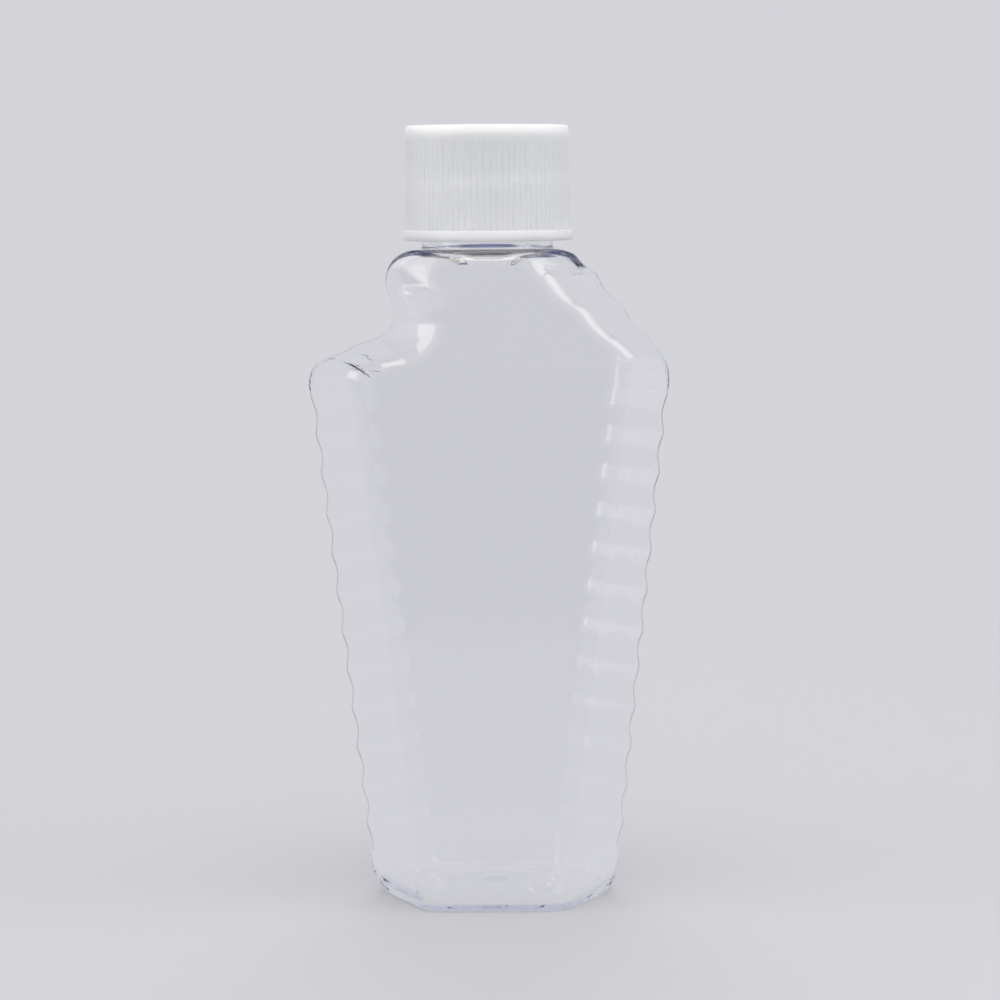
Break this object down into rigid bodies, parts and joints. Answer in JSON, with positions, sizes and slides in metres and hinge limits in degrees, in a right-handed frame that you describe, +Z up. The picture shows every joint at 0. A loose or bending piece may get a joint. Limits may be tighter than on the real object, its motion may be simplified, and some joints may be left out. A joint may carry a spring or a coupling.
{
  "type": "plastic screw-cap bottle",
  "caption": "Flat clear plastic bottle with scalloped flanks, a notched shoulder and a ribbed white screw cap that unscrews on a threaded neck.",
  "frame": {"origin": "on the neck's axis, at the face that the bottle stands on", "axes": "+Z up along the neck's axis, -Y out of the front panel, +X to the side with the slanted scalloped shoulder"},
  "size_m": [0.0592, 0.031, 0.1275],
  "materials": {
    "clear_pet": "clear, glossy, with a faint blue tint",
    "white_pp": "white, satin moulded",
    "pe_foam": "white closed-cell foam"
  },
  "bodies": {
    "bottle": {"bottle": "clear_pet"},
    "liner": {"cap_liner": "pe_foam"},
    "cap": {"screw_cap": "white_pp"}
  },
  "joints": [
    {"name": "cap_lift", "type": "slide", "parent": "bottle", "child": "liner", "axis": [0, 0, 1], "range_m": [0, 0.00477]},
    {"name": "cap_turn", "type": "hinge", "parent": "liner", "child": "cap", "pos_m": [0, 0, 0.1089], "axis": [0, 0, 1], "range_deg": [0, 540]}
  ],
  "couplings": [
    {"joint": "cap_lift", "follows": "cap_turn", "m_per_rad": 0.00050532}
  ]
}
